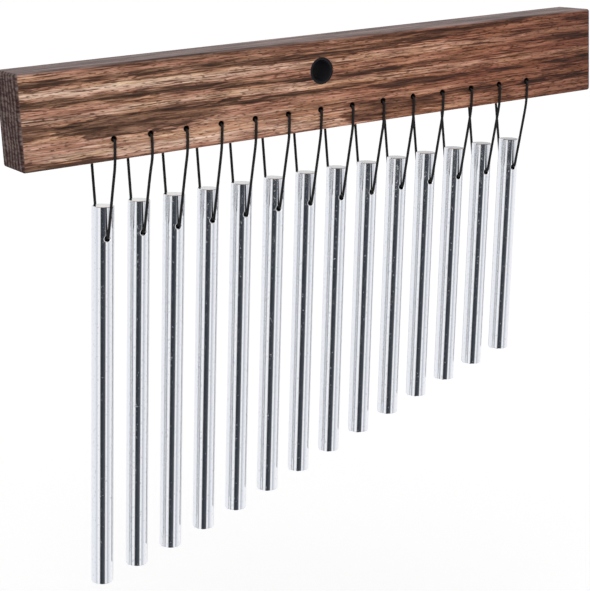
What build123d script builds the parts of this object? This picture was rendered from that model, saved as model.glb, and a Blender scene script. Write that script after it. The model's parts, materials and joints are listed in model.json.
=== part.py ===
"""Bar chimes: a wooden mantle with a row of solid round bars, each hung on its own cord loop.

The origin is the middle of the mantle's stand hole. +X runs along the row towards the short
bars, +Y runs through the stand hole to the back and +Z is up. The bars hang plumb. The mantle
turns on its stand hole, and its heavy end, with the long bars, hangs a little lower.
"""

import math
import os

from build123d import *

os.makedirs("parts", exist_ok=True)

# Driving dimensions in millimetres and degrees

# Bars, of solid round stock, the longest at the left
bar_count = 14
bar_diameter = 9.525
bar_pitch = 16.8
longest_bar = 168.3
shortest_bar = 106.0
length_bow = 1.4  # the lower ends bow out of a straight line by this much in mid-row
length_sway = 1.6  # and sway out of it by this much, long in the first half, short in the second
bar_end_break = 0.2
bar_hole_inset = 13.6  # from a bar's top to the axis of its cord hole
bar_hole_break = 0.3

# Mantle
mantle_height = 40.0
mantle_thickness = 22.2
mantle_end_margin = 40.5  # from the outer cord holes to the ends
mantle_edge_round = 1.2
mantle_tilt = 4.8
cord_hole_height = 9.0  # cord holes above the lower edge

# Stand hole and the bush that lines it
stand_hole_diameter = 12.0
stand_hole_depth = 13.8  # its axis below the upper edge
stand_hole_offset = 7.1  # its axis to the left of the row's middle
bush_bore = 9.7
bush_gap = 0.05  # all round, between the bush and the wood
bush_recess = 0.4  # below both faces of the mantle

# Cords, each one loop tied at the back
cord_diameter = 1.2
cord_bend = 1.4  # radius of the cord's middle line where it turns at a hole's mouth
cord_seat = 0.15  # gap between a cord and what it bears on
mantle_hole_clearance = 1.2  # cord holes over the cord's diameter
bar_hole_clearance = 1.3
hang_drop = 43.15  # from a mantle hole's axis down to the axis of the bar's hole
knot_diameter = 4.2
knot_length = 3.4
knot_seat = 0.05  # gap between a knot and the mantle's back
knot_round = 1.2
knot_entry = 1.0  # the back leg ends this far below the knot's middle

# Sizes that follow from these
tilt = math.radians(mantle_tilt)
row_length = (bar_count - 1) * bar_pitch
mantle_length = row_length + 2 * mantle_end_margin
mantle_middle = stand_hole_depth - mantle_height / 2
cord_hole_level = stand_hole_depth - mantle_height + cord_hole_height
cord_radius = cord_diameter / 2
mantle_hole_radius = (cord_diameter + mantle_hole_clearance) / 2
bar_hole_radius = (cord_diameter + bar_hole_clearance) / 2
bar_radius = bar_diameter / 2
mantle_seat_drop = mantle_hole_radius - cord_radius - cord_seat
bar_seat_rise = bar_hole_radius - cord_radius - cord_seat
loop_height = hang_drop - mantle_seat_drop - bar_seat_rise
hole_mouth_round = cord_bend - cord_radius - cord_seat
edge_bend = mantle_edge_round + cord_seat + cord_radius

# The mantle's own plane: through the middle of its thickness, seen from the front
mantle_plane = Plane(
    origin=(0, 0, 0),
    x_dir=(math.cos(tilt), 0, math.sin(tilt)),
    z_dir=(0, -1, 0),
)


def bar_length(share):
    """Length of the bar that hangs at this share of the row, from 0 at the left to 1."""
    straight = longest_bar + (shortest_bar - longest_bar) * share
    bow = length_bow * math.sin(math.pi * share)
    sway = length_sway * math.sin(2 * math.pi * share)
    return straight + bow + sway


row_shares = [index / (bar_count - 1) for index in range(bar_count)]
hole_places = [
    (stand_hole_offset + row_length * (share - 0.5), cord_hole_level) for share in row_shares
]
hole_centres = [mantle_plane.from_local_coords((x, y, 0)) for x, y in hole_places]

# Mantle: one beam with eased edges, the stand hole and a row of cord holes
with BuildPart() as mantle:
    with BuildSketch(mantle_plane):
        with Locations((stand_hole_offset, mantle_middle)):
            Rectangle(mantle_length, mantle_height)
    extrude(amount=mantle_thickness / 2, both=True)
    fillet(mantle.edges(), mantle_edge_round)
    with Locations(mantle_plane):
        Hole(stand_hole_diameter / 2)
    with Locations(mantle_plane):
        with Locations(*hole_places):
            Hole(mantle_hole_radius)
    mouths = mantle.edges().filter_by(GeomType.CIRCLE)
    mouths = mouths.filter_by(lambda edge: math.isclose(edge.radius, mantle_hole_radius))
    fillet(mouths, hole_mouth_round)
mantle.part.label = "mantle"
export_step(mantle.part, "parts/mantle.step")

# Stand bush: a sleeve in the stand hole, for the stand's rod
with BuildPart() as stand_bush:
    with BuildSketch(mantle_plane):
        Circle(stand_hole_diameter / 2 - bush_gap)
        Circle(bush_bore / 2, mode=Mode.SUBTRACT)
    extrude(amount=mantle_thickness / 2 - bush_recess, both=True)
stand_bush.part.label = "stand_bush"
export_step(stand_bush.part, "parts/stand_bush.step")

# Bars: each hangs plumb below its mantle hole
for number, (share, centre) in enumerate(zip(row_shares, hole_centres), start=1):
    bar_hole = Vector(centre.X, 0, centre.Z - hang_drop)
    with BuildPart() as bar:
        with BuildSketch(Plane(bar_hole + Vector(0, 0, bar_hole_inset))):
            Circle(bar_radius)
        extrude(amount=-bar_length(share))
        chamfer(bar.edges().filter_by(GeomType.CIRCLE), bar_end_break)
        with Locations(Plane(bar_hole, x_dir=(1, 0, 0), z_dir=(0, -1, 0))):
            Hole(bar_hole_radius)
        mouths = bar.edges().filter_by(GeomType.CIRCLE, reverse=True)
        mouths = mouths.filter_by(GeomType.LINE, reverse=True)
        fillet(mouths, bar_hole_break)
    bar.part.label = f"bar_{number:02d}"
    export_step(bar.part, f"parts/bar_{number:02d}.step")

# Cords: from the knot forwards through the mantle, down its face, round its lower edge, through
# the bar and up the back into the knot again
leg_out = mantle_thickness / 2 + cord_seat + cord_radius
bar_out = bar_radius + cord_seat + cord_radius
edge_drop = cord_hole_height / math.cos(tilt) - mantle_seat_drop
knot_start = mantle_thickness / 2 + knot_seat
knot_middle = knot_start + knot_length / 2
route = [
    (knot_middle, 0),
    (-leg_out, 0),
    (-leg_out, -edge_drop),
    (-bar_out, -loop_height),
    (bar_out, -loop_height),
    (leg_out, -edge_drop),
    (leg_out, -knot_entry),
]
bends = [cord_bend, edge_bend, cord_bend, cord_bend, edge_bend]
for number, centre in enumerate(hole_centres, start=1):
    top = Vector(centre.X, 0, centre.Z - mantle_seat_drop)
    loop_plane = Plane(top, x_dir=(0, 1, 0), z_dir=(1, 0, 0))
    with BuildPart() as cord:
        with BuildLine(loop_plane) as loop:
            FilletPolyline(*route, radius=bends)
        with BuildSketch(Plane(loop.line @ 0, z_dir=loop.line % 0)):
            Circle(cord_radius)
        sweep()
        with BuildSketch(loop_plane):
            with Locations((knot_start, 0)):
                knot = Rectangle(knot_length, knot_diameter / 2, align=(Align.MIN, Align.MIN))
            fillet(knot.vertices().group_by(Axis.Y)[-1], knot_round)
        revolve(axis=Axis(top, (0, 1, 0)))
    cord.part.label = f"cord_{number:02d}"
    export_step(cord.part, f"parts/cord_{number:02d}.step")

cord_length = sum(edge.length for edge in loop.edges())
print(f"mantle {mantle_length:.1f} mm long, cord loop {cord_length:.1f} mm from knot to knot")
print("cord bends, mm:", ", ".join(f"{bend:.2f}" for bend in bends))
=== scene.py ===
"""Bar chimes: looks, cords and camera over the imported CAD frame.

A wooden mantle with a black-lined stand hole carries fourteen polished aluminium bars, each on a
loop of black braided cord that is tied behind the mantle. Lengths are in metres unless a name or a
comment says millimetres.
"""

import json
import logging
import math
import random
from dataclasses import dataclass, field
from enum import Enum
from typing import Any

import bmesh
import bpy
from mathutils import Matrix, Vector

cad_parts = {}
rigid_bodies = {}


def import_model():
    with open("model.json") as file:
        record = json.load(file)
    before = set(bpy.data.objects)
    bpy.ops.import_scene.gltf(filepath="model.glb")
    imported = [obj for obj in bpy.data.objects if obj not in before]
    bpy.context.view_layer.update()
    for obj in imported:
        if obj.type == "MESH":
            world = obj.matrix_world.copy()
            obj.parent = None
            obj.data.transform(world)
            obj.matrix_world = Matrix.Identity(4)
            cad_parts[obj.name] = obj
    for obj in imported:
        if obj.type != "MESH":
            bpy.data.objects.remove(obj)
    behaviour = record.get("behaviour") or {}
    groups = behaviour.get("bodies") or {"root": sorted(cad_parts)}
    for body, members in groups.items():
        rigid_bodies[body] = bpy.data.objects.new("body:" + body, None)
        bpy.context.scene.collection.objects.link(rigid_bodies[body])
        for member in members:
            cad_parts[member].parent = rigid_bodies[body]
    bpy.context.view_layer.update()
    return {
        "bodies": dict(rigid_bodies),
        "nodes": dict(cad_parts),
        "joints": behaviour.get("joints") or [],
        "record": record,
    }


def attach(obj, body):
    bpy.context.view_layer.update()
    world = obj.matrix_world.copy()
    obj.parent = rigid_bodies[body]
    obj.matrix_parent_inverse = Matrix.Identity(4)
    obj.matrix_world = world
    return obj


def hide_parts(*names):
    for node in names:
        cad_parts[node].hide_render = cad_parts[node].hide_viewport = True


log = logging.getLogger("bar_chimes")

MM = 0.001
Colour = tuple[float, float, float, float]
NodeInput = float | tuple[float, ...] | bpy.types.NodeSocket


class Slot(Enum):
    """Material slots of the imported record."""

    WOOD = "mantle_wood"
    BUSH = "bush_black"
    BAR = "bar_aluminium"
    CORD = "cord_black"


def linear(colour: str) -> Colour:
    """Turns an sRGB hex colour into linear RGBA.

    Args:
        colour: Six hex digits after a hash sign.

    Returns:
        The linear colour with an alpha of one.
    """
    parts = [int(colour[i : i + 2], 16) / 255 for i in (1, 3, 5)]
    red, green, blue = (
        part / 12.92 if part <= 0.04045 else ((part + 0.055) / 1.055) ** 2.4 for part in parts
    )
    return red, green, blue, 1.0


def add_node(
    tree: bpy.types.NodeTree,
    kind: str,
    inputs: dict[str | int, NodeInput] | None = None,
    out: str | int = 0,
    stops: list[tuple[float, Colour]] | None = None,
    **settings: Any,
) -> bpy.types.NodeSocket:
    """Adds one node with its settings, its values and its links.

    Args:
        tree: The node tree that takes the node.
        kind: Blender's name for the node.
        inputs: A constant or another node's output for each named or numbered input.
        out: The output that is wanted.
        stops: Places and colours of a colour ramp.
        settings: Properties of the node.

    Returns:
        The wanted output of the new node.
    """
    node = tree.nodes.new(kind)
    for key, value in settings.items():
        setattr(node, key, value)
    for key, value in (inputs or {}).items():
        if isinstance(value, bpy.types.NodeSocket):
            tree.links.new(value, node.inputs[key])
        else:
            node.inputs[key].default_value = value
    if stops:
        elements = node.color_ramp.elements
        while len(elements) < len(stops):
            elements.new(1.0)
        for element, (place, colour) in zip(elements, stops):
            element.position = place
            element.color = colour
    return node.outputs[out]


def new_material(name: str) -> tuple[bpy.types.Material, bpy.types.NodeTree, bpy.types.Node]:
    """Starts a node material.

    Args:
        name: The material's name.

    Returns:
        The material, its node tree and its Principled shader.
    """
    material = bpy.data.materials.new(name)
    material.use_nodes = True
    tree = material.node_tree
    return material, tree, tree.nodes["Principled BSDF"]


def paint(frame: dict[str, Any], slot: Slot, material: bpy.types.Material) -> None:
    """Puts a material on every CAD node that the record gives to a slot.

    Args:
        frame: The loaded frame.
        slot: The material slot.
        material: The material that the nodes take.
    """
    for part in frame["record"]["subparts"]:
        if part["material_slot"] == slot.value:
            for place in frame["nodes"][part["node"]].material_slots:
                place.material = material
            log.info("%s is %s", part["node"], material.name)


@dataclass(frozen=True)
class DarkBand:
    """One dark streak of the wood's figure, in millimetres on the front face.

    Places along are measured from the mantle's left end, and depths from its top edge.
    """

    start: float
    end: float
    start_depth: float
    end_depth: float
    half_width: float
    strength: float = 0.92


@dataclass(frozen=True)
class OiledOak:
    """Flat-sawn oak, stained brown and oiled, on the mantle's own axes in millimetres.

    The eye sees a tan ground of fine threads, long feathered dark bands where the open pores took
    the stain, thin dark lines along the grain, mouths of the cord holes painted nearly black as
    painted shade, a top greyed by painted sheen and darkened by painted shade, and dull dark ends
    with paler growth lines.
    """

    tilt: float
    left: float
    right: float
    top: float
    front: float
    # Colours, the triples from dark to light
    ground: tuple[str, ...] = ("#745648", "#BF9D88", "#EDD1BE")
    hues: tuple[str, ...] = ("#FBF1EE", "#FFFEFC", "#FFFAEC")
    halo: str = "#D6B4A6"
    figure: tuple[str, ...] = ("#1B0C05", "#3E281B", "#7E5D48")
    # Top colours: sawn lines, greyed by painted sheen and darkened by painted shade
    top_grain_sheen_shade: tuple[str, ...] = ("#3B2A27", "#68534E", "#917A75")
    end: tuple[str, ...] = ("#2E1B18", "#4A3936", "#6E605B")
    streak: str = "#502D1D"
    pore: str = "#3C2012"
    # Painted shade: the near-black colour painted into the mouths of the cord holes
    mouth: str = "#120A07"
    redder: str = "#EBCFC0"
    # Partly the wood's own tone, partly painted shade: the darkening of the right-hand stretch
    darker: str = "#B9AFAE"
    # Where the redder tint comes in and the darker one starts, along from the stand hole; the
    # darker one is partly the wood's own tone and partly painted shade
    redder_span: tuple[float, float] = (-70.0, 100.0)
    darker_start: float = 50.0
    # The range over which slow waves, ragged edges and threads move the dark bands up and down,
    # how far the bands rise for each millimetre inwards, the range over which their ends move
    # along, and the range over which the threads waver
    sways: tuple[float, float, float] = (3.0, 2.5, 4.5)
    lean: float = 0.35
    ragged_ends: float = 40.0
    thread_waver: float = 1.4
    # The pale, calmer strip low at the left: depths and distances along over which it comes in
    pale_depths: tuple[float, float] = (25.5, 29.0)
    pale_reach: tuple[float, float] = (160.0, 100.0)
    pale_lift: float = 0.045
    pale_calm: float = 0.45
    # The row of cord holes, from the left end and the top edge, and the radii of the painted shade
    # in their mouths
    row_start: float = 40.5
    row_pitch: float = 16.8
    row_count: int = 14
    row_depth: float = 31.0
    hole_shade_radii: tuple[float, float] = (1.2, 1.5)
    # How far apart the growth lines lie on the ends, and below which depths the colours of the
    # top and the ends come in and are whole
    ring_gap: float = 3.3
    top_blend: tuple[float, float] = (1.1, 0.4)
    # The ends' colour starts on the eased end edges: partly their end grain, partly painted shade
    # of the rounded edges
    end_blend: tuple[float, float] = (1.2, 0.7)
    bands: tuple[DarkBand, ...] = (
        # Along the top edge
        DarkBand(18, 132, 1.0, 0.8, 1.2, 0.65),
        DarkBand(-40, 38, 4.8, 4.8, 1.2),
        DarkBand(28, 54, 4.8, 4.5, 0.6, 0.8),
        DarkBand(43, 73, 4.4, 4.5, 1.5),
        DarkBand(60, 152, 4.8, 7.0, 1.7, 0.8),
        DarkBand(80, 102, 5.4, 5.6, 0.9),
        DarkBand(106, 154, 2.4, 2.6, 2.6, 0.55),
        DarkBand(118, 172, 6.6, 7.2, 1.4),
        DarkBand(138, 198, 6.0, 5.4, 2.2, 0.7),
        DarkBand(150, 202, 2.2, 2.0, 1.6, 0.65),
        DarkBand(176, 240, 4.4, 2.4, 2.3, 0.7),
        DarkBand(172, 214, 5.4, 4.6, 0.8),
        DarkBand(192, 244, 3.2, 1.6, 0.8),
        DarkBand(204, 266, 2.4, 0.6, 1.6, 0.85),
        # Second row
        DarkBand(-40, 36, 13.2, 12.9, 1.8),
        DarkBand(24, 68, 13.0, 13.4, 1.3),
        DarkBand(30, 66, 14.9, 14.6, 0.9),
        DarkBand(52, 94, 13.6, 13.4, 1.7, 0.8),
        DarkBand(72, 114, 13.4, 15.6, 1.7),
        DarkBand(96, 152, 15.8, 16.8, 1.1),
        DarkBand(107, 121, 13.0, 13.0, 0.8),
        DarkBand(144, 192, 17.2, 16.6, 1.1),
        DarkBand(174, 236, 16.6, 14.6, 0.8, 0.8),
        # Third row, with the broad figure
        DarkBand(-60, 24, 23.6, 23.8, 2.8, 0.7),
        DarkBand(-40, 17, 26.4, 26.6, 0.8),
        DarkBand(11, 36, 24.7, 24.4, 3.1, 0.95),
        DarkBand(22, 64, 25.2, 25.6, 4.7, 0.8),
        DarkBand(42, 94, 24.6, 24.2, 4.5, 0.65),
        DarkBand(38, 88, 22.0, 21.8, 1.1, 0.95),
        DarkBand(54, 82, 28.6, 27.8, 0.9),
        DarkBand(85, 101, 22.6, 22.4, 1.9),
        DarkBand(90, 152, 23.2, 22.8, 1.3),
        DarkBand(127, 145, 22.8, 22.6, 1.1),
        DarkBand(138, 172, 22.4, 22.0, 0.9, 0.75),
        DarkBand(166, 214, 23.8, 24.4, 1.7, 0.8),
        DarkBand(202, 266, 24.2, 24.2, 0.9, 0.8),
        # Low on the face
        DarkBand(58, 67, 30.0, 30.0, 0.8),
        DarkBand(-60, 26, 38.3, 38.8, 2.3, 0.85),
        DarkBand(8, 46, 39.3, 39.5, 1.4, 0.8),
        DarkBand(34, 72, 39.5, 39.7, 0.9, 0.6),
        DarkBand(150, 210, 33.8, 34.8, 4.5, 0.7),
        DarkBand(156, 188, 31.2, 31.6, 0.9),
        DarkBand(194, 252, 31.6, 31.0, 1.1),
        DarkBand(255, 273, 31.8, 31.4, 1.0),
        # Right end
        DarkBand(260, 350, 12.4, 11.4, 1.5, 0.8),
        DarkBand(266, 350, 23.4, 22.2, 1.7),
        DarkBand(268, 350, 31.2, 30.6, 1.0),
        DarkBand(276, 380, 4.8, 3.2, 2.5, 0.55),
    )

    def grain(
        self,
        tree: bpy.types.NodeTree,
        place: bpy.types.NodeSocket,
        along: float,
        through: float,
        upright: float,
        detail: float = 2.0,
    ) -> bpy.types.NodeSocket:
        """Adds a noise whose marks have a given size on each of the mantle's axes.

        Args:
            tree: The material's node tree.
            place: The place on the mantle's own axes.
            along: Size of one mark along the length.
            through: Size of one mark through the thickness.
            upright: Size of one mark up the height.
            detail: Octaves of finer noise.

        Returns:
            The noise, from 0 to 1.
        """
        scale = (1 / along, 1 / through, 1 / upright)
        spread = add_node(tree, "ShaderNodeMapping", {"Vector": place, "Scale": scale})
        inputs = {"Vector": spread, "Scale": 1.0, "Detail": detail, "Roughness": 0.6}
        return add_node(tree, "ShaderNodeTexNoise", inputs)

    def shades(self, colours: tuple[str, ...], reach: float) -> list[tuple[float, Colour]]:
        """Spreads colours, dark to light, evenly about a noise's middle.

        Args:
            colours: Hex colours from dark to light.
            reach: How far from the middle the outer colours lie.

        Returns:
            Places and colours of a ramp.
        """
        step = 2 * reach / (len(colours) - 1)
        return [(0.5 - reach + step * i, linear(colour)) for i, colour in enumerate(colours)]

    def blended(
        self,
        tree: bpy.types.NodeTree,
        parts: tuple[tuple[bpy.types.NodeSocket, float], ...],
    ) -> bpy.types.NodeSocket:
        """Adds up noises by their shares.

        Args:
            tree: The material's node tree.
            parts: Each noise with its share.

        Returns:
            The sum.
        """
        total: NodeInput = 0.0
        for noise, share in parts:
            inputs = {0: noise, 1: share, 2: total}
            total = add_node(tree, "ShaderNodeMath", inputs, operation="MULTIPLY_ADD")
        return total

    def dark_figure(
        self,
        tree: bpy.types.NodeTree,
        depth: bpy.types.NodeSocket,
        along: bpy.types.NodeSocket,
    ) -> tuple[bpy.types.NodeSocket, bpy.types.NodeSocket]:
        """Adds the dark bands, each a long lens that tapers to its ends.

        Args:
            tree: The material's node tree.
            depth: Ragged depth below the top edge.
            along: Ragged distance from the left end.

        Returns:
            How much of the dark figure shows, from 0 to 1, and how far inside a band a place is.
        """
        total: NodeInput = 0.0
        nearest: NodeInput = -20.0
        for band in self.bands:
            ends = {"Value": along, "From Min": band.start, "From Max": band.end}
            depths = {"To Min": band.start_depth, "To Max": band.end_depth}
            line = add_node(tree, "ShaderNodeMapRange", ends | depths)
            off = add_node(tree, "ShaderNodeMath", {0: depth, 1: line}, operation="SUBTRACT")
            away = add_node(tree, "ShaderNodeMath", {0: off}, operation="ABSOLUTE")
            share = add_node(tree, "ShaderNodeMapRange", ends | {"To Min": -1.0, "To Max": 1.0})
            square = add_node(tree, "ShaderNodeMath", {0: share, 1: share}, operation="MULTIPLY")
            reach = add_node(
                tree,
                "ShaderNodeMapRange",
                {"Value": square, "From Min": 1.0, "From Max": 0.2, "To Max": band.half_width},
                interpolation_type="SMOOTHSTEP",
            )
            inside = add_node(tree, "ShaderNodeMath", {0: reach, 1: away}, operation="SUBTRACT")
            core = add_node(
                tree,
                "ShaderNodeMapRange",
                {"Value": inside, "From Min": -0.25, "From Max": 0.45, "To Max": band.strength},
                interpolation_type="SMOOTHSTEP",
            )
            total = add_node(tree, "ShaderNodeMath", {0: total, 1: core}, operation="MAXIMUM")
            both = {0: nearest, 1: inside}
            nearest = add_node(tree, "ShaderNodeMath", both, operation="MAXIMUM")
        return total, nearest

    def build(self) -> bpy.types.Material:
        """Builds the material, turned onto the mantle's own axes, which lean with its tilt."""
        material, tree, shader = new_material("oiled_oak")
        where = add_node(tree, "ShaderNodeTexCoord", out="Object")
        turn = {"Rotation": (0.0, self.tilt, 0.0), "Scale": (1000.0, 1000.0, 1000.0)}
        place = add_node(tree, "ShaderNodeMapping", {"Vector": where} | turn)
        split = add_node(tree, "ShaderNodeSeparateXYZ", {0: place}).node.outputs
        slow = self.grain(tree, place, 90.0, 24.0, 24.0)
        ragged = self.grain(tree, place, 26.0, 2.2, 2.2, 3.0)
        waver = self.grain(tree, place, 22.0, 4.0, 4.0)
        lift = {0: waver, 1: self.thread_waver, 2: -self.thread_waver / 2}
        lifted = add_node(tree, "ShaderNodeMath", lift, operation="MULTIPLY_ADD")
        offset = add_node(tree, "ShaderNodeCombineXYZ", {"Z": lifted})
        waved = add_node(tree, "ShaderNodeVectorMath", {0: place, 1: offset}, operation="ADD")
        threads = self.grain(tree, waved, 26.0, 0.8, 0.65)
        fine = self.grain(tree, waved, 12.0, 0.8, 0.6, 3.0)
        streaks = self.grain(tree, waved, 30.0, 1.3, 1.2)
        tones = self.grain(tree, place, 70.0, 7.0, 6.0)

        # Depth below the top edge, on the front face, torn into threads along the grain.
        depth = add_node(
            tree, "ShaderNodeMath", {0: self.top, 1: split["Z"]}, operation="SUBTRACT"
        )
        parts = (*zip((slow, ragged, threads), self.sways), (split["Y"], self.lean))
        sway = self.blended(tree, parts)
        middle = -sum(self.sways) / 2 - self.lean * self.front
        moved = add_node(tree, "ShaderNodeMath", {0: sway, 1: middle}, operation="ADD")
        depth = add_node(tree, "ShaderNodeMath", {0: depth, 1: moved}, operation="ADD")
        shift = {0: ragged, 1: self.ragged_ends, 2: -self.ragged_ends / 2 - self.left}
        moved = add_node(tree, "ShaderNodeMath", shift, operation="MULTIPLY_ADD")
        along = add_node(tree, "ShaderNodeMath", {0: split["X"], 1: moved}, operation="ADD")
        figure, inside = self.dark_figure(tree, depth, along)

        # Ground: fine threads over medium streaks and broad tones, pinker and yellower by turns,
        # redder beside the dark bands, with thin dark lines.
        start, end = self.pale_depths
        low = {"Value": depth, "From Min": start, "From Max": end}
        is_low = add_node(tree, "ShaderNodeMapRange", low)
        start, end = self.pale_reach
        leftward = {"Value": along, "From Min": start, "From Max": end}
        is_left = add_node(tree, "ShaderNodeMapRange", leftward)
        pale = add_node(tree, "ShaderNodeMath", {0: is_low, 1: is_left}, operation="MULTIPLY")
        parts = ((fine, 0.5), (streaks, 0.35), (tones, 0.15), (pale, self.pale_lift))
        level = self.blended(tree, parts)
        stops = self.shades(self.ground, 0.145)
        ground = add_node(tree, "ShaderNodeValToRGB", {"Fac": level}, stops=stops)
        hue = self.grain(tree, place, 34.0, 5.0, 4.5)
        stops = self.shades(self.hues, 0.1)
        hues = add_node(tree, "ShaderNodeValToRGB", {"Fac": hue}, stops=stops)
        reach = {"Value": inside, "From Min": -1.3, "From Max": 0.1, "To Max": 0.8}
        beside = add_node(tree, "ShaderNodeMapRange", reach, interpolation_type="SMOOTHSTEP")
        for share, tint in ((1.0, hues), (beside, linear(self.halo))):
            ground = add_node(
                tree,
                "ShaderNodeMix",
                {0: share, 6: ground, 7: tint},
                2,
                data_type="RGBA",
                blend_type="MULTIPLY",
            )
        lined = self.grain(tree, waved, 22.0, 0.9, 0.65)
        thin = {"Value": lined, "From Min": 0.54, "From Max": 0.61, "To Max": 0.9}
        lines = add_node(tree, "ShaderNodeMapRange", thin)
        fewer = {0: pale, 1: -self.pale_calm, 2: 1.0}
        calm = add_node(tree, "ShaderNodeMath", fewer, operation="MULTIPLY_ADD")
        lines = add_node(tree, "ShaderNodeMath", {0: lines, 1: calm}, operation="MULTIPLY")
        ground = add_node(
            tree,
            "ShaderNodeMix",
            {0: lines, 6: ground, 7: linear(self.streak)},
            2,
            data_type="RGBA",
        )

        # The dark bands are streaked themselves.
        level = self.blended(tree, ((fine, 0.45), (streaks, 0.55)))
        stops = self.shades(self.figure, 0.1)
        dark = add_node(tree, "ShaderNodeValToRGB", {"Fac": level}, stops=stops)
        colour = add_node(
            tree, "ShaderNodeMix", {0: figure, 6: ground, 7: dark}, 2, data_type="RGBA"
        )

        # Pores: thin dashes along the grain.
        pores = self.grain(tree, waved, 3.2, 0.5, 0.5, 1.0)
        dash = {"Value": pores, "From Min": 0.57, "From Max": 0.67, "To Max": 0.75}
        dashes = add_node(tree, "ShaderNodeMapRange", dash)
        colour = add_node(
            tree,
            "ShaderNodeMix",
            {0: dashes, 6: colour, 7: linear(self.pore)},
            2,
            data_type="RGBA",
        )

        # The right half is redder, and the last stretch darker: the red is the wood's own tone,
        # the darkening partly its own tone and partly painted shade.
        darker_span = (self.darker_start, self.right)
        for tint, span in ((self.redder, self.redder_span), (self.darker, darker_span)):
            ends = {"Value": split["X"], "From Min": span[0], "From Max": span[1]}
            share = add_node(tree, "ShaderNodeMapRange", ends)
            colour = add_node(
                tree,
                "ShaderNodeMix",
                {0: share, 6: colour, 7: linear(tint)},
                2,
                data_type="RGBA",
                blend_type="MULTIPLY",
            )

        # Painted shade: the mouths of the drilled cord holes are painted nearly black, for the
        # shade inside them.
        first = self.left + self.row_start
        pitches = {0: split["X"], 1: 1 / self.row_pitch, 2: -first / self.row_pitch}
        step = add_node(tree, "ShaderNodeMath", pitches, operation="MULTIPLY_ADD")
        whole = add_node(tree, "ShaderNodeMath", {0: step}, operation="ROUND")
        number = add_node(tree, "ShaderNodeClamp", {"Value": whole, "Max": self.row_count - 1.0})
        past = add_node(tree, "ShaderNodeMath", {0: step, 1: number}, operation="SUBTRACT")
        aside = add_node(
            tree, "ShaderNodeMath", {0: past, 1: self.row_pitch}, operation="MULTIPLY"
        )
        row = {0: split["Z"], 1: self.row_depth - self.top}
        above = add_node(tree, "ShaderNodeMath", row, operation="ADD")
        off = add_node(tree, "ShaderNodeCombineXYZ", {"X": aside, "Z": above})
        radius = add_node(tree, "ShaderNodeVectorMath", {0: off}, "Value", operation="LENGTH")
        inner, outer = self.hole_shade_radii
        mouth = {"Value": radius, "From Min": outer, "From Max": inner}
        hole_shade_share = add_node(tree, "ShaderNodeMapRange", mouth)
        colour = add_node(
            tree,
            "ShaderNodeMix",
            {0: hole_shade_share, 6: colour, 7: linear(self.mouth)},
            2,
            data_type="RGBA",
        )

        # The top is cut across the rings: straight fine lines, greyer and darker. The grey is
        # painted sheen and the darkness painted shade; this colour starts 1.1 mm below the top, on
        # the eased edges, where it makes a dark line.
        sawn = self.grain(tree, place, 40.0, 2.4, 2.4)
        level = self.blended(tree, ((sawn, 0.7), (fine, 0.3)))
        stops = self.shades(self.top_grain_sheen_shade, 0.12)
        top_grain_sheen_shade = add_node(tree, "ShaderNodeValToRGB", {"Fac": level}, stops=stops)
        start, end = self.top_blend
        edge = {"Value": split["Z"], "From Min": self.top - start, "From Max": self.top - end}
        is_top = add_node(tree, "ShaderNodeMapRange", edge)
        colour = add_node(
            tree, "ShaderNodeMix", {0: is_top, 6: colour, 7: top_grain_sheen_shade}, 2, data_type="RGBA"
        )

        # End grain: pale growth lines up the face, broken into rungs and dotted with pores. A
        # wave's period is a tenth of pi over its scale.
        rings = add_node(
            tree,
            "ShaderNodeTexWave",
            {"Vector": place, "Scale": math.pi / 10 / self.ring_gap, "Distortion": 4.0},
            "Fac",
            bands_direction="Y",
        )
        rungs = self.grain(tree, place, 40.0, 4.0, 1.1, 1.0)
        dots = self.grain(tree, place, 40.0, 1.6, 1.0, 1.0)
        level = self.blended(tree, ((rings, 0.2), (rungs, 0.45), (dots, 0.35)))
        stops = self.shades(self.end, 0.13)
        end_colour = add_node(tree, "ShaderNodeValToRGB", {"Fac": level}, stops=stops)
        middle = (self.left + self.right) / 2
        half = (self.right - self.left) / 2
        off = add_node(tree, "ShaderNodeMath", {0: split["X"], 1: middle}, operation="SUBTRACT")
        away = add_node(tree, "ShaderNodeMath", {0: off}, operation="ABSOLUTE")
        # The end colour starts on the eased edges: partly end grain, partly painted shade of the
        # rounded end edges.
        start, end = self.end_blend
        edge = {"Value": away, "From Min": half - start, "From Max": half - end}
        is_end = add_node(tree, "ShaderNodeMapRange", edge)
        colour = add_node(
            tree, "ShaderNodeMix", {0: is_end, 6: colour, 7: end_colour}, 2, data_type="RGBA"
        )

        # The open pores are duller than the oiled wood, and the sawn ends dullest.
        rough = add_node(
            tree, "ShaderNodeMapRange", {"Value": dashes, "To Min": 0.5, "To Max": 0.75}
        )
        rough = add_node(tree, "ShaderNodeMath", {0: is_end, 1: rough}, operation="MAXIMUM")
        height = add_node(
            tree, "ShaderNodeMath", {0: dashes, 1: -1.0, 2: fine}, operation="MULTIPLY_ADD"
        )
        relief = {"Height": height, "Strength": 0.3, "Distance": 0.1 * MM}
        bump = add_node(tree, "ShaderNodeBump", relief)
        shader.inputs["Specular IOR Level"].default_value = 0.2
        tree.links.new(colour, shader.inputs["Base Color"])
        tree.links.new(rough, shader.inputs["Roughness"])
        tree.links.new(bump, shader.inputs["Normal"])
        return material


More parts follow.
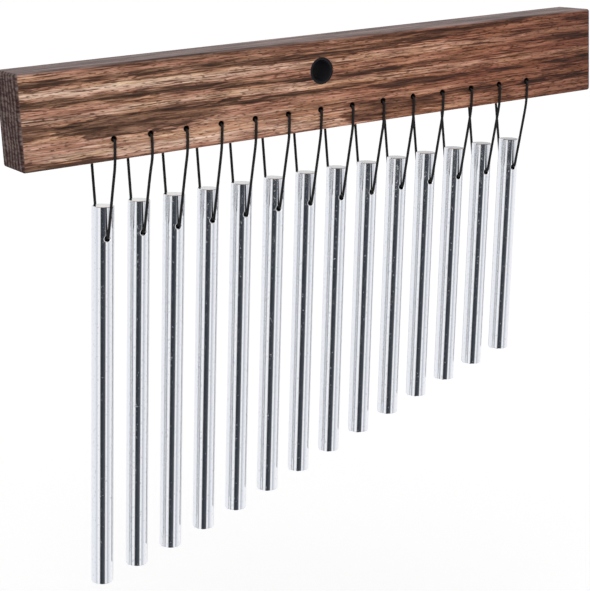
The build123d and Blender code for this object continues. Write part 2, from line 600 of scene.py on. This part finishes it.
@dataclass(frozen=True)
class PolishedAluminium:
    """Drawn aluminium rod, polished along its length.

    The eye sees a bright mirror with crisp stripes of the room, whose edges waver a little with
    the draw lines, and small dull specks.
    """

    colour: str = "#F5F5F6"
    speck: str = "#DADCE0"
    line_width: float = 1.2 * MM
    line_length: float = 30.0 * MM
    smear_size: float = 6.0 * MM
    speck_size: float = 0.9 * MM

    def build(self) -> bpy.types.Material:
        """Builds the material, with draw lines along Z."""
        material, tree, shader = new_material("polished_aluminium")
        where = add_node(tree, "ShaderNodeTexCoord", out="Object")
        drawn = add_node(
            tree,
            "ShaderNodeMapping",
            {
                "Vector": where,
                "Scale": (1 / self.line_width, 1 / self.line_width, 1 / self.line_length),
            },
        )
        lines = add_node(
            tree, "ShaderNodeTexNoise", {"Vector": drawn, "Scale": 1.0, "Detail": 3.0}
        )
        large = {"Vector": where, "Scale": 1 / self.smear_size, "Detail": 3.0}
        smears = add_node(tree, "ShaderNodeTexNoise", large)
        small = {"Vector": where, "Scale": 1 / self.speck_size, "Detail": 1.0}
        grit = add_node(tree, "ShaderNodeTexNoise", small)
        specks = add_node(
            tree, "ShaderNodeMapRange", {"Value": grit, "From Min": 0.6, "From Max": 0.78}
        )
        dull = add_node(
            tree,
            "ShaderNodeMapRange",
            {"Value": smears, "From Min": 0.4, "From Max": 0.8, "To Min": 0.08, "To Max": 0.16},
        )
        rough = add_node(
            tree, "ShaderNodeMath", {0: specks, 1: 0.2, 2: dull}, operation="MULTIPLY_ADD"
        )
        tint = add_node(
            tree,
            "ShaderNodeMix",
            {0: specks, 6: linear(self.colour), 7: linear(self.speck)},
            2,
            data_type="RGBA",
        )
        height = add_node(
            tree, "ShaderNodeMath", {0: specks, 1: -0.5, 2: lines}, operation="MULTIPLY_ADD"
        )
        relief = {"Height": height, "Strength": 0.06, "Distance": 0.05 * MM}
        bump = add_node(tree, "ShaderNodeBump", relief)
        shader.inputs["Metallic"].default_value = 1.0
        tree.links.new(tint, shader.inputs["Base Color"])
        tree.links.new(rough, shader.inputs["Roughness"])
        tree.links.new(bump, shader.inputs["Normal"])
        return material


@dataclass(frozen=True)
class MouldedNylon:
    """Black moulded nylon: a dull blue-black with a faint moulded grain."""

    colour: str = "#17171B"
    worn: str = "#222227"
    grain_size: float = 0.6 * MM

    def build(self) -> bpy.types.Material:
        """Builds the material, with an even grain all over."""
        material, tree, shader = new_material("moulded_nylon_black")
        where = add_node(tree, "ShaderNodeTexCoord", out="Object")
        even = {"Vector": where, "Scale": 1 / self.grain_size, "Detail": 2.0}
        grain = add_node(tree, "ShaderNodeTexNoise", even)
        tint = add_node(
            tree,
            "ShaderNodeMix",
            {0: grain, 6: linear(self.colour), 7: linear(self.worn)},
            2,
            data_type="RGBA",
        )
        relief = {"Height": grain, "Strength": 0.2, "Distance": 0.03 * MM}
        bump = add_node(tree, "ShaderNodeBump", relief)
        shader.inputs["Roughness"].default_value = 0.7
        shader.inputs["Specular IOR Level"].default_value = 0.1
        tree.links.new(tint, shader.inputs["Base Color"])
        tree.links.new(bump, shader.inputs["Normal"])
        return material


@dataclass(frozen=True)
class BraidedPolyester:
    """Black braided polyester cord: matt black strands with faint fibres along them."""

    hollow: str = "#060505"
    crown: str = "#151312"
    fibres_per_mm: float = 2.5
    fibres_round: float = 24.0

    def build(self) -> bpy.types.Material:
        """Builds the material on the cord's own UV map, whose U is millimetres along it."""
        material, tree, shader = new_material("braided_polyester_black")
        where = add_node(tree, "ShaderNodeTexCoord", out="UV")
        scale = (self.fibres_per_mm, self.fibres_round, 1.0)
        fibres = add_node(tree, "ShaderNodeMapping", {"Vector": where, "Scale": scale})
        noise = add_node(
            tree, "ShaderNodeTexNoise", {"Vector": fibres, "Scale": 1.0, "Detail": 2.0}
        )
        tint = add_node(
            tree,
            "ShaderNodeMix",
            {0: noise, 6: linear(self.hollow), 7: linear(self.crown)},
            2,
            data_type="RGBA",
        )
        relief = {"Height": noise, "Strength": 0.3, "Distance": 0.05 * MM}
        bump = add_node(tree, "ShaderNodeBump", relief)
        shader.inputs["Roughness"].default_value = 0.7
        shader.inputs["Specular IOR Level"].default_value = 0.3
        tree.links.new(tint, shader.inputs["Base Color"])
        tree.links.new(bump, shader.inputs["Normal"])
        return material


@dataclass
class Mantle:
    """The wooden beam and the black lining of its stand hole, in millimetres and radians."""

    frame: dict[str, Any]
    tilt: float = math.radians(4.8)
    length: float = 299.4
    thickness: float = 22.2
    stand_hole_depth: float = 13.8
    stand_hole_offset: float = 7.1

    def dress(self) -> None:
        """Paints the beam and its lining."""
        left = self.stand_hole_offset - self.length / 2
        right = left + self.length
        front = -self.thickness / 2
        wood = OiledOak(self.tilt, left, right, self.stand_hole_depth, front)
        paint(self.frame, Slot.WOOD, wood.build())
        paint(self.frame, Slot.BUSH, MouldedNylon().build())


@dataclass
class CordLoops:
    """The cord loops, each through one mantle hole and one bar, with a knot at the back.

    A loop's route is drawn in the plane of its holes, from the cord's middle in the mantle hole.
    """

    frame: dict[str, Any]
    diameter: float = 1.2 * MM
    length: float = 118.9 * MM
    leg_out: float = 11.85 * MM
    bar_out: float = 5.5125 * MM
    edge_drop: float = 8.58 * MM
    edge_slack: float = 0.9 * MM  # a loop turns in this much lower, to clear the mantle's edge
    swing_slack: tuple[float, float] = (2.3 * MM, 1.5 * MM)  # the first and last swing further
    loop_height: float = 42.2 * MM
    knot_middle: float = 12.85 * MM
    knot_entry: float = 1.0 * MM
    knot_lobe: float = 0.6 * MM
    knot_depth: float = 0.62 * MM
    knot_points: int = 15
    knot_gap: float = 0.25  # the turn, in radians, that each end of a knot stops short by
    tail: float = 4.6 * MM
    corner_run: float = 2.8 * MM
    edge_run: float = 7.2 * MM
    strands: int = 3
    relief: float = 0.06
    crown_level: float = 0.6  # the height of the braid that lies on the cord's own diameter
    sides: int = 18
    loop_steps: int = 36
    knot_steps: int = 10
    # How far each front leg bows to the right at the mantle's lower edge, in millimetres.
    bows: tuple[float, ...] = (
        0.1, 0.5, 0.2, -0.1, 0.0, 0.1, -0.1, 0.05, 0.15, -0.05, 0.1, 0.0, 0.1, -0.05,
    )
    finish: bpy.types.Material = field(init=False)

    def route(self, top: Vector, bow: float, slack: float) -> list[Vector]:
        """Gives the control points of one loop.

        Args:
            top: The cord's middle in the mantle hole.
            bow: How far the front leg bows to the right at the mantle's lower edge.
            slack: How far below the solid's own corner the loop turns in.

        Returns:
            The points from the knot, through the mantle, round the bar and back to the knot.
        """
        edge = Vector((0.0, -self.leg_out, -self.edge_drop - slack))
        mouth = Vector((0.0, -self.bar_out, -self.loop_height))
        run = (mouth - edge).normalized()
        lower = [edge + run * self.edge_run, mouth - run * self.corner_run, mouth]
        lower.append(mouth + Vector((0.0, self.corner_run, 0.0)))
        mirror = Matrix.Diagonal((1.0, -1.0, 1.0))
        sway = Vector((bow, 0.0, 0.0))
        points = [
            Vector((0.0, self.knot_middle, 0.0)),
            Vector((0.0, self.corner_run - self.leg_out, 0.0)),
            Vector((0.0, -self.leg_out, 0.0)),
            Vector((0.0, -self.leg_out, -self.corner_run)) + sway * 0.6,
            edge + sway,
            *lower,
            *[mirror @ point for point in reversed(lower)],
            mirror @ edge,
            Vector((0.0, self.leg_out, -self.knot_entry)),
        ]
        return [top + point for point in points]

    def knot_route(self, top: Vector, number: int) -> list[Vector]:
        """Gives the control points of one overhand knot with its two tails.

        Args:
            top: The cord's middle in the mantle hole.
            number: The loop's number, which varies the knot.

        Returns:
            The points from one tail, round the knot, to the other tail.
        """
        chance = random.Random(number)
        lobes = []
        whole = math.tau - 2 * self.knot_gap
        for step in range(self.knot_points):
            turn = self.knot_gap + whole * step / (self.knot_points - 1)
            across = self.knot_lobe * (math.sin(turn) + 2 * math.sin(2 * turn))
            upward = self.knot_lobe * (math.cos(turn) - 2 * math.cos(2 * turn))
            lobes.append(Vector((across, -self.knot_depth * math.sin(3 * turn), upward)))
        tails = []
        for side, start in ((-1, lobes[0]), (1, lobes[-1])):
            spread = chance.uniform(0.35, 0.75) * self.tail
            reach = chance.uniform(0.8, 1.1) * self.tail
            lift = chance.uniform(0.0, 0.4) * MM
            tails.append(
                [
                    start + Vector((side * 0.35 * self.tail, 0.0, -0.15 * self.tail)),
                    start + Vector((side * spread, lift, -0.5 * reach)),
                    start + Vector((side * spread * 1.1, lift, -reach)),
                ]
            )
        points = list(reversed(tails[0])) + lobes + tails[1]
        face = 1 if number % 2 else -1
        turned = Matrix.Rotation(chance.uniform(-0.3, 0.3), 3, "Y")
        middle = top + Vector((0.0, self.knot_middle, 0.0))
        return [middle + turned @ Vector((face * p.x, p.y, p.z)) for p in points]

    def line(self, points: list[Vector], steps: int) -> list[Vector]:
        """Reads the line of a NURBS spline from its control points.

        Args:
            points: The control points.
            steps: Points read from each part of the spline.

        Returns:
            The points of the line.
        """
        curve = bpy.data.curves.new("route", "CURVE")
        curve.dimensions = "3D"
        curve.resolution_u = steps
        spline = curve.splines.new("NURBS")
        spline.points.add(len(points) - 1)
        for control, point in zip(spline.points, points):
            control.co = (point.x, point.y, point.z, 1.0)
        spline.order_u = 3
        spline.use_endpoint_u = True
        holder = bpy.data.objects.new("route", curve)
        mesh = bpy.data.meshes.new_from_object(holder)
        line = [vertex.co.copy() for vertex in mesh.vertices]
        bpy.data.meshes.remove(mesh)
        bpy.data.objects.remove(holder)
        bpy.data.curves.remove(curve)
        return line

    def tube(self, name: str, line: list[Vector], side: Vector) -> bpy.types.Object:
        """Rolls a sheet into a braided tube along a line.

        Args:
            name: The piece's name.
            line: The middle of the tube.
            side: A direction that the tube's seam starts from.

        Returns:
            The tube, with a UV map whose U is millimetres along it.
        """
        shape = bmesh.new()
        layer = shape.loops.layers.uv.new("UVMap")
        steps = len(line) - 1
        bmesh.ops.create_grid(
            shape, x_segments=steps, y_segments=self.sides, size=1.0, calc_uvs=True
        )
        travelled = [0.0]
        outward = []
        for step in range(steps + 1):
            ahead = line[min(step + 1, steps)] - line[max(step - 1, 0)]
            ahead.normalize()
            side = (side - ahead * side.dot(ahead)).normalized()
            outward.append((side, ahead.cross(side)))
            if step < steps:
                travelled.append(travelled[-1] + (line[step + 1] - line[step]).length)
        for face in shape.faces:
            face.smooth = True
            for loop in face.loops:
                step = round((loop.vert.co.x + 1) / 2 * steps)
                loop[layer].uv = (travelled[step] / MM, (loop.vert.co.y + 1) / 2)
        lay = math.pi * self.diameter
        for vertex in shape.verts:
            step = round((vertex.co.x + 1) / 2 * steps)
            angle = (vertex.co.y + 1) * math.pi
            turn = math.tau * travelled[step] / lay
            crowns = [math.cos(self.strands * (angle + way * turn)) for way in (-1, 1)]
            radius = self.diameter / 2 * (1 + self.relief * (max(crowns) - self.crown_level))
            first, second = outward[step]
            spoke = first * math.cos(angle) + second * math.sin(angle)
            vertex.co = line[step] + spoke * radius
        bmesh.ops.remove_doubles(shape, verts=shape.verts, dist=1e-7)
        rims = [edge for edge in shape.edges if edge.is_boundary]
        bmesh.ops.holes_fill(shape, edges=rims, sides=self.sides)
        bmesh.ops.recalc_face_normals(shape, faces=shape.faces)
        mesh = bpy.data.meshes.new(name)
        shape.to_mesh(mesh)
        shape.free()
        mesh.materials.append(self.finish)
        piece = bpy.data.objects.new(name, mesh)
        bpy.context.scene.collection.objects.link(piece)
        return piece

    def build(self) -> None:
        """Builds each loop and its knot, and lets them ride on the loop's body."""
        self.finish = BraidedPolyester().build()
        hinges = {joint["name"]: Vector(joint["pos_m"]) for joint in self.frame["joints"]}
        inner = [self.edge_slack] * (len(self.bows) - 2)
        slacks = [self.swing_slack[0], *inner, self.swing_slack[1]]
        for number, (bow, slack) in enumerate(zip(self.bows, slacks), start=1):
            body = f"cord_{number:02d}"
            top = hinges[f"{body}_swing"]
            line = self.line(self.route(top, bow * MM, slack), self.loop_steps)
            loop = self.tube(f"loop_{number:02d}", line, Vector((1.0, 0.0, 0.0)))
            knot_line = self.line(self.knot_route(top, number), self.knot_steps)
            knot = self.tube(f"knot_{number:02d}", knot_line, Vector((0.0, 1.0, 0.0)))
            for piece in (loop, knot):
                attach(piece, body)
            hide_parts(body)
            log.info("%s and %s ride on %s", loop.name, knot.name, body)


@dataclass
class Studio:
    """White studio: floor, soft light, a room for the metal to mirror, and the camera.

    The camera is given as a picture of 590 by 591 pixels: where the stand hole's middle falls in
    it, how far away that is, and how the view is turned.
    """

    width: int = 590
    tall: int = 591
    focal: float = 1515.515
    azimuth: float = math.radians(-31.656)
    elevation: float = math.radians(10.970)
    roll: float = math.radians(1.517)
    hole_across: float = 308.68
    hole_down: float = 68.68
    hole_away: float = 0.67954
    axis_across: float = 295.0
    axis_down: float = 230.0
    sensor: float = 36.0
    floor_height: float = -0.36
    floor_half: float = 12.0
    floor_glow: float = 0.2
    ambient: float = 0.7
    key: float = 1.3
    key_spread: float = math.radians(70.0)
    key_aim: tuple[float, float, float] = (0.45, 0.75, -0.5)
    ceiling: float = 0.9
    ceiling_rise: tuple[float, float] = (0.05, 0.2)
    # Light and dark panels round the object: degrees to the right of the camera, and colour.
    panels: tuple[tuple[float, str], ...] = (
        (-180, "#484C53"), (-169, "#565A61"), (-161, "#F8FAFE"), (-132, "#F4F6FB"),
        (-110, "#F2F4FA"), (-93, "#F0F3F9"), (-78, "#EEF1F7"), (-65, "#E6E9EF"),
        (-54, "#D4D7DE"), (-47, "#E2E5EB"), (-40, "#F4F6FC"), (-21, "#FAFCFF"),
        (-13, "#34383E"), (3, "#363A41"), (21, "#464A50"), (34, "#5A5E65"),
        (40, "#F0F3F9"), (48, "#FFFFFF"), (54, "#EEF1F7"), (60, "#CDD0D7"),
        (70, "#CBCED5"), (81, "#E4E7EE"), (95, "#F2F4F9"), (112, "#F6F8FC"),
        (132, "#FAFBFE"), (163, "#FCFDFF"), (171, "#565A61"), (180, "#484C53"),
    )

    def camera(self) -> None:
        """Adds the camera at the photograph's place."""
        lift = math.cos(self.elevation)
        back = Vector(
            (
                math.sin(self.azimuth) * lift,
                -math.cos(self.azimuth) * lift,
                math.sin(self.elevation),
            )
        )
        level = Vector((0.0, 0.0, 1.0)).cross(back).normalized()
        upright = back.cross(level)
        right = math.cos(self.roll) * level + math.sin(self.roll) * upright
        up = math.cos(self.roll) * upright - math.sin(self.roll) * level
        ray = (
            right * (self.hole_across - self.axis_across) / self.focal
            - up * (self.hole_down - self.axis_down) / self.focal
            - back
        )
        data = bpy.data.cameras.new("camera")
        data.sensor_fit = "HORIZONTAL"
        data.sensor_width = self.sensor
        data.lens = self.focal / self.width * data.sensor_width
        data.shift_x = (self.width / 2 - self.axis_across) / self.width
        data.shift_y = (self.axis_down - self.tall / 2) / self.width
        data.clip_start = 0.01
        camera = bpy.data.objects.new("camera", data)
        turn = Matrix((right, up, back)).transposed().to_4x4()
        camera.matrix_world = Matrix.Translation(-ray * self.hole_away) @ turn
        bpy.context.scene.collection.objects.link(camera)
        bpy.context.scene.camera = camera

    def key_light(self) -> None:
        """Adds one very broad light from the front, above and to the left."""
        data = bpy.data.lights.new("key_light", "SUN")
        data.energy = self.key
        data.angle = self.key_spread
        light = bpy.data.objects.new("key_light", data)
        aim = Vector(self.key_aim)
        light.matrix_world = aim.to_track_quat("-Z", "Y").to_matrix().to_4x4()
        bpy.context.scene.collection.objects.link(light)

    def floor(self) -> None:
        """Adds a white floor that keeps the shadow and stays out of the metal's mirror."""
        shape = bmesh.new()
        bmesh.ops.create_grid(shape, x_segments=1, y_segments=1, size=self.floor_half)
        bmesh.ops.translate(shape, verts=shape.verts, vec=(0.0, 0.0, self.floor_height))
        mesh = bpy.data.meshes.new("floor")
        shape.to_mesh(mesh)
        shape.free()
        floor = bpy.data.objects.new("floor", mesh)
        bpy.context.scene.collection.objects.link(floor)
        material, tree, shader = new_material("white_paper_floor")
        seen = add_node(tree, "ShaderNodeLightPath", out="Is Camera Ray")
        level = {0: seen, 1: self.floor_glow}
        glow = add_node(tree, "ShaderNodeMath", level, operation="MULTIPLY")
        shader.inputs["Base Color"].default_value = linear("#F4F4F4")
        shader.inputs["Roughness"].default_value = 0.9
        shader.inputs["Specular IOR Level"].default_value = 0.0
        shader.inputs["Emission Color"].default_value = linear("#FFFFFF")
        tree.links.new(glow, shader.inputs["Emission Strength"])
        mesh.materials.append(material)
        floor.visible_glossy = False

    def room(self) -> None:
        """Adds the world: white to the camera, plain light on the object, panels in the metal."""
        world = bpy.data.worlds.new("white_studio")
        world.use_nodes = True
        bpy.context.scene.world = world
        tree = world.node_tree
        where = add_node(tree, "ShaderNodeTexCoord", out="Generated")
        turn = {"Vector": where, "Rotation": (0.0, 0.0, -self.azimuth)}
        turned = add_node(tree, "ShaderNodeMapping", turn)
        split = add_node(tree, "ShaderNodeSeparateXYZ", {0: turned}).node.outputs
        towards = add_node(tree, "ShaderNodeMath", {0: split["Y"], 1: -1.0}, operation="MULTIPLY")
        angle = add_node(
            tree, "ShaderNodeMath", {0: split["X"], 1: towards}, operation="ARCTAN2"
        )
        ends = {"Value": angle, "From Min": -math.pi, "From Max": math.pi}
        share = add_node(tree, "ShaderNodeMapRange", ends)
        stops = [((degrees + 180) / 360, linear(colour)) for degrees, colour in self.panels]
        wall = add_node(tree, "ShaderNodeValToRGB", {"Fac": share}, stops=stops)
        start, end = self.ceiling_rise
        rise = {"Value": split["Z"], "From Min": start, "From Max": end}
        overhead = add_node(tree, "ShaderNodeMapRange", rise, interpolation_type="SMOOTHSTEP")
        ceiling = (self.ceiling, self.ceiling, self.ceiling, 1.0)
        mirrored = add_node(
            tree,
            "ShaderNodeMix",
            {0: overhead, 6: wall, 7: ceiling},
            2,
            data_type="RGBA",
        )
        rays = add_node(tree, "ShaderNodeLightPath").node.outputs
        plain = (self.ambient, self.ambient, self.ambient, 1.0)
        lit = add_node(
            tree,
            "ShaderNodeMix",
            {0: rays["Is Glossy Ray"], 6: plain, 7: mirrored},
            2,
            data_type="RGBA",
        )
        seen = add_node(
            tree,
            "ShaderNodeMath",
            {0: rays["Is Camera Ray"], 1: rays["Is Transmission Ray"]},
            operation="MAXIMUM",
        )
        shown = add_node(
            tree,
            "ShaderNodeMix",
            {0: seen, 6: lit, 7: (1.0, 1.0, 1.0, 1.0)},
            2,
            data_type="RGBA",
        )
        tree.links.new(shown, tree.nodes["Background"].inputs["Color"])

    def build(self) -> None:
        """Builds the studio round the object."""
        self.floor()
        self.room()
        self.key_light()
        self.camera()
        bpy.context.scene.view_settings.view_transform = "Standard"
        log.info("studio is ready")


def main() -> None:
    """Loads the frame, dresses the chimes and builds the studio."""
    logging.basicConfig(level=logging.INFO, format="%(name)s: %(message)s")
    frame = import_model()
    Studio().build()
    CordLoops(frame).build()
    Mantle(frame).dress()
    paint(frame, Slot.BAR, PolishedAluminium().build())


if __name__ == "__main__":
    main()
